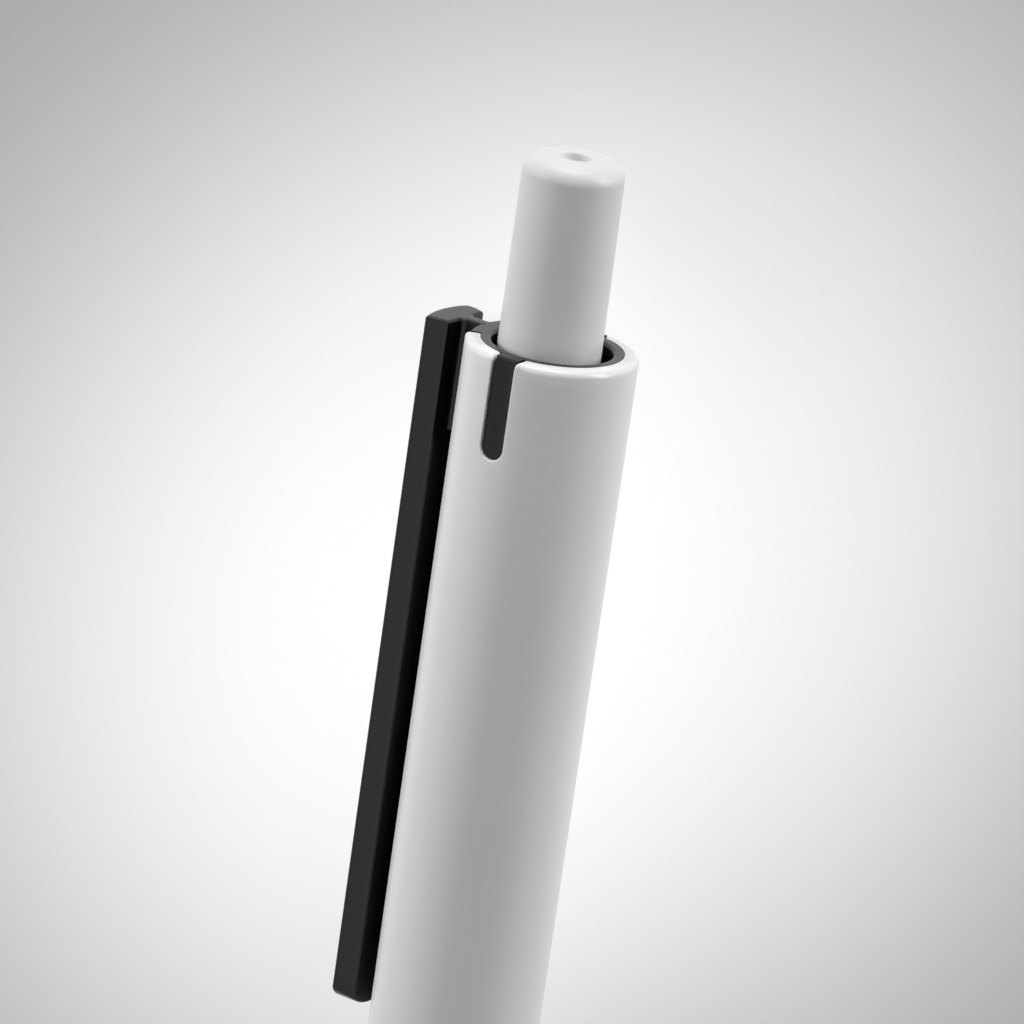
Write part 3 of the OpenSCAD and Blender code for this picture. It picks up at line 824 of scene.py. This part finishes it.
def clip_root(shape, outline, first, last, bridge):
    """The clip's upper end with its neck: the rounded edge of its flat top, the sides down to the
    neck's lower end, and the neck's underside. First and last number the outline's points on it."""
    left = normals(outline, closed=False)
    edge = CLIP_ROUND * np.clip((outline[:, 0] - outline[:, 0].min()) / CLIP_ROUND, 0, 1)
    rows = []
    for a in np.linspace(0, math.pi / 2, 6):
        line = outline + left * (edge * (1 - math.sin(a)))[:, None]
        rows.append(flat_row(line, -edge * (1 - math.cos(a))))
    rows += [flat_row(outline, z) for z in np.linspace(-0.5, -NECK_LEN, 14)]
    shape.grid(rows, wrap=True)
    rim = outline + left * edge[:, None]
    shape.fill(rim, inner_points(rim, step=0.35), lambda p: flat_row(p, 0))
    neck = np.vstack([outline[:first + 1], bridge[::-1], outline[last:]])
    shape.fill(neck, inner_points(neck, step=0.3), lambda p: flat_row(p, -NECK_LEN))


def clip_bar(shape, loop):
    """The clip below its neck, down to its arched free end with a finely rounded edge."""
    round_off, row_step, end_len = 0.14, 2.2, 4
    inward = normals(loop)
    ends = clip_end(loop[:, 1]) + round_off
    rows = [flat_row(loop, z) for z in np.arange(-NECK_LEN, CLIP_LOW + end_len, -row_step)]
    above = rows[-1][0, 2]
    rows += [flat_row(loop, above + (ends - above) * k / 8) for k in range(1, 8)]
    for a in np.linspace(0, math.pi / 2, 6):
        line = loop + inward * (round_off * (1 - math.cos(a)))
        rows.append(flat_row(line, clip_end(line[:, 1]) + round_off * (1 - math.sin(a))))
    shape.grid(rows, wrap=True)
    half = np.abs(line[:, 1]).max()
    across = half * np.sin(np.linspace(-1.45, 1.45, 27))
    grid = [(x, y) for y in across for x in np.arange(CLIP_IN + 0.3, CLIP_OUT, 0.3)]
    inner = kept_inside(grid, line, gap=0.07)
    shape.fill(line, inner, lambda p: flat_row(p, clip_end(p[:, 1])))


def clip():
    """Dark clip and neck as one moulding: its flat top lies in the rim's plane, its free end is arched."""
    shape = Shape()
    outline = cut_up(rounded(clip_outline(), 8, closed=False), FINE, closed=False)
    on_clip = np.flatnonzero(outline[:, 0] >= CLIP_IN - 1e-6)
    first, last = on_clip[0], on_clip[-1]
    bridge = np.linspace(outline[last], outline[first], 14)[1:-1]
    clip_root(shape, outline, first, last, bridge)
    clip_bar(shape, np.vstack([outline[first:last + 1], bridge]))
    piece = shape.build("clip_with_neck", sharp=32)
    finish_piece(piece, None, "dark_clip", DARK, "clip_arm")
    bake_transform(piece)


# The push button


def crown_edge(angle):
    """Height of the crown's V teeth over their tips at an angle about the axis."""
    share = ((angle - TOOTH_PITCH / 4) / TOOTH_PITCH + 0.5) % 1.0
    rise = TOOTH_PITCH * BUTTON_R / 2 * TOOTH_SLOPE
    return rise * (1 - np.abs(2 * share - 1))


def button():
    """White hollow button: rounded top with a shallow hole, and below it splines and a toothed crown."""
    shape = Shape()
    inner_r = BUTTON_R - BUTTON_WALL
    ceiling = BUTTON_HIGH - BUTTON_TOP_T
    skirt_top = BUTTON_LOW + 2
    dimple_floor = BUTTON_HIGH - DIMPLE_DEPTH
    outside = rounded([
        (BUTTON_R, skirt_top), (BUTTON_R, 0), (BUTTON_TOP_R, BUTTON_HIGH - BUTTON_ROUND),
        (BUTTON_TOP_R, BUTTON_HIGH, BUTTON_ROUND * FULL_ROUND), (DIMPLE_R, BUTTON_HIGH, 0.09),
        (DIMPLE_R - 0.03, dimple_floor, 0.22), (0.02, dimple_floor - 0.04),
        (0, dimple_floor - 0.04),
    ], 14, closed=False)
    inside = rounded([(0, ceiling), (inner_r, ceiling, 0.4), (inner_r, skirt_top)], 8, closed=False)
    angle = even_angles(COLUMNS)
    for profile in (outside, inside):
        rows = [ring(angle, r, z) for r, z in cut_up(profile, 1.2, closed=False)]
        shape.grid(rows, wrap=True)

    # The skirt's rows go by their share of the way up from the teeth, and the bevel's by its size.
    bevel = 0.03
    teeth = BUTTON_LOW + crown_edge(angle)
    skirt = [(BUTTON_R, 1), (BUTTON_R, 0.5), (BUTTON_R, bevel), (BUTTON_R - bevel, 0),
             (inner_r + bevel, 0), (inner_r, bevel), (inner_r, 0.5), (inner_r, 1)]
    rows = [
        ring(angle, r, teeth + (skirt_top - teeth) * up if up > bevel else teeth + up)
        for r, up in skirt
    ]
    shape.grid(rows, wrap=True)
    splines(shape)
    for points in shape.points:
        aside = PLAY_AT_RIM + LEAN * points[:, 2]
        points[:, 0] += aside * math.cos(PLAY_TOWARDS)
        points[:, 1] += aside * math.sin(PLAY_TOWARDS)
    piece = shape.build("button_shell", sharp=35)
    finish_piece(piece, "button", "white_button", WHITE_BUTTON, "push_button")


def splines(shape):
    """The four splines that run in the sleeve's grooves, with bevelled upper corners."""
    half = (GROOVE_W / 2 - GUIDE_FIT) / MOUTH_R
    bevel, columns = 0.12, 13
    at_corner = np.abs(np.linspace(-1, 1, columns)) > 0.95
    for k in range(TOOTH_COUNT // 2):
        angles = np.linspace(k * math.pi / 2 - half, k * math.pi / 2 + half, columns)
        lows = BUTTON_LOW + crown_edge(angles) + 0.02
        tops = BUTTON_LOW + SPLINE_LEN - bevel * at_corner
        shape.sector(angles, (BUTTON_R - OVERLAP, GUIDE_R), lows, tops)


# The cam


def cam():
    """Dark cam: pilot, hub, collar and plug turned in one, with four slanted fins."""
    hub_r, plug_r, bevel = 2.0, TUBE_BORE_R - FIT, 0.3
    fin_w = GROOVE_W - 2 * GUIDE_FIT
    fin_top = SLEEVE_LOW + SKIRT_LEN - OVERSHOOT + STROKE
    fin_low = fin_top - fin_w * TOOTH_SLOPE - FIN_LEN
    hub_low = fin_low - bevel
    shape = Shape()
    shape.turned(cut_up(rounded([
        (0, CAM_LOW), (plug_r, CAM_LOW, 0.25), (plug_r, TUBE_HIGH), (TUBE_R, TUBE_HIGH, 0.08),
        (TUBE_R, hub_low, 0.1), (hub_r, hub_low + hub_r - TUBE_R, 0.1), (hub_r, CAM_HIGH, bevel),
        (0, CAM_HIGH),
    ], 6, closed=False), 1.0, closed=False), closed=False)
    turn = np.linspace(-1, 1, 11)
    half = fin_w / 2 / GUIDE_R
    soft = 0.08 * (np.abs(turn) > 0.9)
    lows = fin_low + soft
    tops = fin_top - fin_w * TOOTH_SLOPE / 2 + turn * fin_w / 2 * TOOTH_SLOPE - soft
    for k in range(TOOTH_COUNT // 2):
        shape.sector(k * math.pi / 2 + half * turn, (hub_r - OVERLAP, GUIDE_R), lows, tops)
    finish_piece(shape.build("cam_moulding"), "refill", "cam_plastic", CAM_PLASTIC, "cam")


# The refill


def refill_tube():
    """Plastic tube with two ears crimped out of its wall, which carry the spring."""
    shape = Shape()
    shape.turned(cut_up(rounded([
        (TUBE_R, TUBE_LOW, 0.1), (TUBE_R, TUBE_HIGH, 0.12), (TUBE_BORE_R, TUBE_HIGH, 0.12),
        (TUBE_BORE_R, TUBE_LOW, 0.05),
    ], 4), 3), columns=72)
    low, high = BALL_LOW + EAR_PLACE, BALL_LOW + EAR_PLACE + EAR_LEN
    outline = cut_up(rounded([
        (EAR_HALF, low, 0.06), (EAR_HALF, high, 0.29), (-EAR_HALF, high, 0.29), (-EAR_HALF, low, 0.06),
    ], 8), 0.12)
    root_r, top_r = TUBE_R - 0.15, TUBE_R + SPRING_FIT + 2 * WIRE_R
    for side in (1, -1):

        def to_side(x, y, r, side=side):
            return np.stack([side * np.broadcast_to(r, np.shape(x)), side * x, y], -1)

        patch(shape, outline, root_r, top_r, np.full(len(outline), 0.09), to_side)
    piece = shape.build("refill_tube_crimped")
    finish_piece(piece, "refill", "refill_plastic", REFILL, "refill_tube")


def ink():
    """Ink column with a dished upper end."""
    r = TUBE_BORE_R - FIT
    shape = Shape()
    shape.turned(cut_up(rounded([
        (0, INK_LOW), (r, INK_LOW, 0.05), (r, INK_HIGH, 0.03), (0.8 * r, INK_HIGH - 0.22),
        (0.4 * r, INK_HIGH - 0.38), (0, INK_HIGH - 0.42),
    ], 4, closed=False), 3, closed=False), columns=64, closed=False)
    finish_piece(shape.build("ink_in_tube"), "refill", "ink", INK, "ink_column")


def ball_point():
    """Turned brass point: cone with a rolled lip, stem with two grooves, shank and ink channel."""
    lip_z = BALL_LOW + BALL_PROUD
    ball_z = BALL_LOW + BALL_R
    lip_in = math.sqrt(SOCKET_R ** 2 - (ball_z - lip_z) ** 2)
    lip_r = lip_in + 0.08
    shoulder = POINT_HIGH - SHANK_LEN
    channel_low = ball_z + math.sqrt(SOCKET_R ** 2 - CHANNEL_R ** 2)
    profile = [
        (CHANNEL_R, channel_low), (CHANNEL_R, POINT_HIGH, 0.05), (SHANK_R, POINT_HIGH, 0.15),
        (SHANK_R, shoulder), (POINT_R, shoulder, 0.1),
    ]
    groove = 0.09
    for groove_top in (shoulder - 1.4, shoulder - 2.2):
        profile += [
            (POINT_R, groove_top, 0.05), (POINT_R - groove, groove_top - groove),
            (POINT_R - groove, groove_top - 0.21), (POINT_R, groove_top - 0.3, 0.05),
        ]
    profile += [
        (POINT_R, lip_z + CONE_LEN, 0.25), (lip_r + 0.04, lip_z + 0.35, 0.3),
        (lip_r, lip_z + 0.08, 0.05), (lip_r - 0.02, lip_z, 0.03), (lip_in, lip_z),
    ]
    start, end = math.asin((lip_z - ball_z) / SOCKET_R), math.acos(CHANNEL_R / SOCKET_R)
    socket = [
        (SOCKET_R * math.cos(a), ball_z + SOCKET_R * math.sin(a))
        for a in np.linspace(start, end, 14)
    ]
    outline = cut_up(rounded(profile, 5, closed=False), 0.5, closed=False)
    shape = Shape()
    shape.turned(np.vstack([outline, socket[1:-1]]), columns=96)
    finish_piece(shape.build("point_turned"), "refill", "point_metal", BRASS, "ball_point")


def writing_ball():
    """The ball, ground round."""
    radius = (BALL_HIGH - BALL_LOW) / 2
    centre = (BALL_HIGH + BALL_LOW) / 2
    profile = [
        (radius * math.cos(a), centre + radius * math.sin(a))
        for a in np.linspace(-math.pi / 2, math.pi / 2, 41)
    ]
    shape = Shape()
    shape.turned(profile, columns=64, closed=False)
    finish_piece(shape.build("ball_ground", sharp=60), "ball", "ball_metal", CARBIDE, "writing_ball")


# The return spring


def wire_height(turn):
    """Height of the wire's middle after a number of turns: closed coils at both ends, open between."""
    low, high, turns = SPRING_LOW + WIRE_R, SPRING_HIGH - WIRE_R, OPEN_COILS + 2 * CLOSED_COILS
    closed = CLOSED_COILS * CLOSED_PITCH
    knots = [0, CLOSED_COILS, turns - CLOSED_COILS, turns]
    return np.interp(turn, knots, [low, low + closed, high - closed, high])


def spring():
    """Return spring: one unbroken round wire with rounded cut ends."""
    turns = OPEN_COILS + 2 * CLOSED_COILS
    coil_r = TUBE_R + SPRING_FIT + WIRE_R
    sides = even_angles(WIRE_SIDES)
    margin = 0.02
    turn = np.linspace(margin, turns - margin, turns * 30)
    # At the cut ends: turns from the end, and the wire's size there as a share
    bevel = [(0, 0.55), (0.006, 0.85), (0.013, 1)]
    stops = [(turn[0] - margin + m, k) for m, k in bevel] + [(t, 1) for t in turn[1:-1]]
    stops += [(turn[-1] + margin - m, k) for m, k in bevel[::-1]]
    rows = []
    for t, size in stops:
        r, z = coil_r + WIRE_R * size * np.cos(sides), wire_height(t) + WIRE_R * size * np.sin(sides)
        a = 2 * math.pi * t
        rows.append(np.stack([r * math.cos(a), r * math.sin(a), z], 1))
    shape = Shape()
    shape.grid(rows, wrap=True)
    for first in (0, shape.count - WIRE_SIDES):
        shape.faces.append(list(range(first, first + WIRE_SIDES)))
    piece = shape.build("spring_wire", sharp=50)
    finish_piece(piece, "housing", "spring_steel", STEEL, "return_spring")
    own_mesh(piece)


barrel()
nose_cone()
sleeve()
clip()
button()
cam()
refill_tube()
ink()
ball_point()
writing_ball()
spring()

# Desk, surroundings and lamps: metres in the imported model's frame

# A pool of light painted on the desk round the pen's upper end: levels over the distance, as a share of its
# half axes
GLOW_CENTRE = (0.0417, 0.0002, 0)
GLOW_TURN = math.radians(143.5)
GLOW_LONG, GLOW_SHORT = 0.0412, 0.0334
GLOW_TOP, GLOW_LOW, GLOW_POWER = 0.95, 0.25, 2.75
GLOW_REACH = 2
# Further off the desk fades to one level: how much of it, over shares of the desk's radius
FLOOR_R = 0.9
FLOOR_GAP = 0.00002
FAR_LEVEL = 0.55
FAR_STOPS = [(0.12, 0), (0.35, 0.5), (0.8, 1)]
# Light and shadows show on it fully up to 15% of its radius, and not at all past 40%
SHADE_COLOUR = 0.2
SHADE_FADE = (1 - 0.40, 1 - 0.15)
BOUNCE_COLOUR = 0.85
# A painted shadow: what is mirrored of the strip under the pen is dark. Its far side, and the fade at its
# edges
STRIP_SIDE = (0.0055, 0.0063)
STRIP_FADE = 0.002
# The surroundings are grey up to one height and white from another, and light the pen dimly
SKY_FADE = (0.62, 0.85)
WORLD_LIGHT = 0.1
PEN_END = (0.045, 0, 0.005)


def grey(level):
    """A grey with its alpha."""
    return (level, level, level, 1)


def combined(tree, operation, first, second):
    """One operation on two factors."""
    made = add_node(tree, "ShaderNodeMath", {0: first, 1: second})
    made.operation = operation
    return made.outputs["Value"]


def seen_directly(tree):
    """1 for camera, glossy and transmission rays, and 0 for the rest."""
    rays = tree.nodes.new("ShaderNodeLightPath").outputs
    found = combined(tree, "MAXIMUM", rays["Is Camera Ray"], rays["Is Glossy Ray"])
    return combined(tree, "MAXIMUM", found, rays["Is Transmission Ray"])


def by_ray(tree, output, seen, others):
    """Gives an output one shader for what is seen or mirrored, and another for the rest."""
    choice = add_node(tree, "ShaderNodeMixShader", {"Fac": seen_directly(tree), 1: others, 2: seen})
    feed(tree, tree.nodes[output], {"Surface": choice.outputs["Shader"]})


def level_ramp(tree, factor, levels):
    """Grey levels over 1 minus a factor, as pairs of place and level."""
    made = tree.nodes.new("ShaderNodeValToRGB")
    made.color_ramp.interpolation = "B_SPLINE"
    while len(made.color_ramp.elements) < len(levels):
        made.color_ramp.elements.new(0.5)
    for stop, (out, level) in zip(made.color_ramp.elements, levels[::-1]):
        stop.position = 1 - out
        stop.color = grey(level)
    return feed(tree, made, {"Fac": factor}).outputs["Color"]


def round_gradient(tree, where, half_axes, centre=(0, 0, 0), turn=0.0):
    """1 at a centre on the desk, falling evenly to 0 on an ellipse round it."""
    mapping = tree.nodes.new("ShaderNodeMapping")
    mapping.vector_type = "TEXTURE"
    feed(tree, mapping, {
        "Vector": where, "Location": centre, "Rotation": (0, 0, turn), "Scale": (*half_axes, 1),
    })
    gradient = add_node(tree, "ShaderNodeTexGradient", {"Vector": mapping.outputs["Vector"]})
    gradient.gradient_type = "SPHERICAL"
    return gradient.outputs["Fac"]


def painted_light_pool(tree, where, outwards):
    """A painted pool of light round the pen's upper end, and one even grey far off."""
    half_axes = (GLOW_REACH * GLOW_LONG, GLOW_REACH * GLOW_SHORT)
    glow = round_gradient(tree, where, half_axes, GLOW_CENTRE, GLOW_TURN)
    levels = [
        (out / GLOW_REACH, GLOW_LOW + (GLOW_TOP - GLOW_LOW) * math.exp(-out ** GLOW_POWER))
        for out in np.linspace(0, GLOW_REACH, 17)
    ]
    fade = tree.nodes.new("ShaderNodeMix")
    fade.data_type = "RGBA"
    feed(tree, fade, {
        "Factor": level_ramp(tree, outwards, FAR_STOPS), "A": level_ramp(tree, glow, levels),
        "B": grey(FAR_LEVEL),
    })
    return fade.outputs["Result"]


def painted_shadow_strip(tree, where):
    """Painted shadow in reflections: 1 for glossy rays that meet the desk under the pen, from the barrel's
    line of contact to the clip, and 0 elsewhere."""
    parts = add_node(tree, "ShaderNodeSeparateXYZ", {"Vector": where})
    x, y = parts.outputs["X"], parts.outputs["Y"]
    low, high = place(0, 0, CLIP_LOW).x - STRIP_FADE, place(0, 0, 0).x - STRIP_FADE / 2
    contact = place(0, 0, 0).y
    found = tree.nodes.new("ShaderNodeLightPath").outputs["Is Glossy Ray"]
    for edge in (
        spread(tree, x, 0, 1, low - STRIP_FADE, low),
        spread(tree, x, 1, 0, high - STRIP_FADE, high),
        spread(tree, y, 0, 1, contact - STRIP_FADE, contact),
        spread(tree, y, 1, 0, *STRIP_SIDE),
    ):
        found = combined(tree, "MULTIPLY", found, edge)
    return found


def desk_material():
    """For what is seen or mirrored, the desk glows with a painted pool of light round the pen's upper end,
    is dark under the pen in reflections as painted shadow, and takes a little light and shade. For the rest
    it is a plain pale surface."""
    material, tree, shader = node_material("desk")
    tree.nodes.remove(shader)
    where = tree.nodes.new("ShaderNodeTexCoord").outputs["Object"]
    outwards = round_gradient(tree, where, (FLOOR_R, FLOOR_R))
    # Painted pool of light, with a painted shadow under the pen where glossy rays see it
    shine = add_node(tree, "ShaderNodeEmission", {
        "Color": painted_light_pool(tree, where, outwards),
        "Strength": spread(tree, painted_shadow_strip(tree, where), 1, 0),
    })
    shade = add_node(tree, "ShaderNodeBsdfDiffuse", {
        "Color": spread(tree, outwards, 0, SHADE_COLOUR, *SHADE_FADE),
    })
    both = add_node(tree, "ShaderNodeAddShader", {0: shine.outputs["Emission"], 1: shade.outputs["BSDF"]})
    plain = add_node(tree, "ShaderNodeBsdfDiffuse", {"Color": grey(BOUNCE_COLOUR)})
    by_ray(tree, "Material Output", both.outputs["Shader"], plain.outputs["BSDF"])
    return material


def floor():
    """Desk: a painted pool of light, white around the pen's upper end and greyer outwards, and pale again
    far off. It keeps the pen's soft shadow."""
    mesh = bpy.data.meshes.new("floor")
    edge = [(FLOOR_R * math.cos(a), FLOOR_R * math.sin(a), 0) for a in even_angles(96)]
    mesh.from_pydata(edge, [], [range(len(edge))])
    mesh.materials.append(desk_material())
    made = bpy.data.objects.new("floor", mesh)
    bpy.context.scene.collection.objects.link(made)
    made.location.z = -FLOOR_GAP


def world():
    """Surroundings for what is seen or mirrored, grey low down and white overhead, and a dim even
    light for the rest."""
    made = bpy.data.worlds.new("studio")
    bpy.context.scene.world = made
    made.use_nodes = True
    tree = made.node_tree
    dim = feed(tree, tree.nodes["Background"], {"Color": grey(1), "Strength": WORLD_LIGHT})
    where = tree.nodes.new("ShaderNodeTexCoord").outputs["Generated"]
    height = add_node(tree, "ShaderNodeSeparateXYZ", {"Vector": where}).outputs["Z"]
    pale = add_node(tree, "ShaderNodeBackground", {
        "Color": grey(1), "Strength": spread(tree, height, FAR_LEVEL, 1, *SKY_FADE),
    })
    by_ray(tree, "World Output", pale.outputs["Background"], dim.outputs["Background"])


def lamp(name, position, size, watts, mirrored=True):
    """A soft box that faces the pen's upper end. The camera doesn't see it."""
    light = bpy.data.lights.new(name, "AREA")
    light.shape = "RECTANGLE"
    light.size, light.size_y = size
    light.energy = watts
    made = bpy.data.objects.new(name, light)
    made.location = position
    made.rotation_mode = "QUATERNION"
    made.rotation_quaternion = (Vector(PEN_END) - Vector(position)).to_track_quat("-Z", "Y")
    made.visible_camera = False
    made.visible_glossy = mirrored
    bpy.context.scene.collection.objects.link(made)


floor()
world()
lamp("left_box", (0.27, 0.62, 0.24), size=(0.45, 0.36), watts=3.5, mirrored=False)
lamp("right_box", (0.60, -1.05, 0.10), size=(0.9, 0.18), watts=9.0)
lamp("end_box", (1.248, 0, 0.15), size=(0.9, 0.26), watts=7.6)


# Camera


def camera():
    """The photograph's view: a long lens, looking at the rim from a little above its plane."""
    azimuth, elevation, distance = math.radians(121.65), math.radians(16.4), 379.3
    aim_side, aim_z, roll = -0.97, -10.72, math.radians(-8.25)
    flat = distance * math.cos(elevation)
    eye = place(flat * math.cos(azimuth), flat * math.sin(azimuth), distance * math.sin(elevation))
    aim = place(-aim_side * math.sin(azimuth), aim_side * math.cos(azimuth), aim_z)
    forward = (aim - eye).normalized()
    right = forward.cross(Vector((1, 0, 0))).normalized()
    up = right.cross(forward)
    turned_up = up * math.cos(roll) + right * math.sin(roll)
    turned_right = forward.cross(turned_up)
    made = bpy.data.objects.new("camera", bpy.data.cameras.new("camera"))
    made.data.sensor_width = 36
    made.data.lens = 223.98
    made.data.clip_start = 0.01
    made.data.clip_end = 10
    turn = Matrix((turned_right, turned_up, -forward)).transposed().to_4x4()
    made.matrix_world = Matrix.Translation(eye) @ turn
    bpy.context.scene.collection.objects.link(made)
    bpy.context.scene.camera = made


camera()
bpy.context.scene.view_settings.view_transform = "Standard"
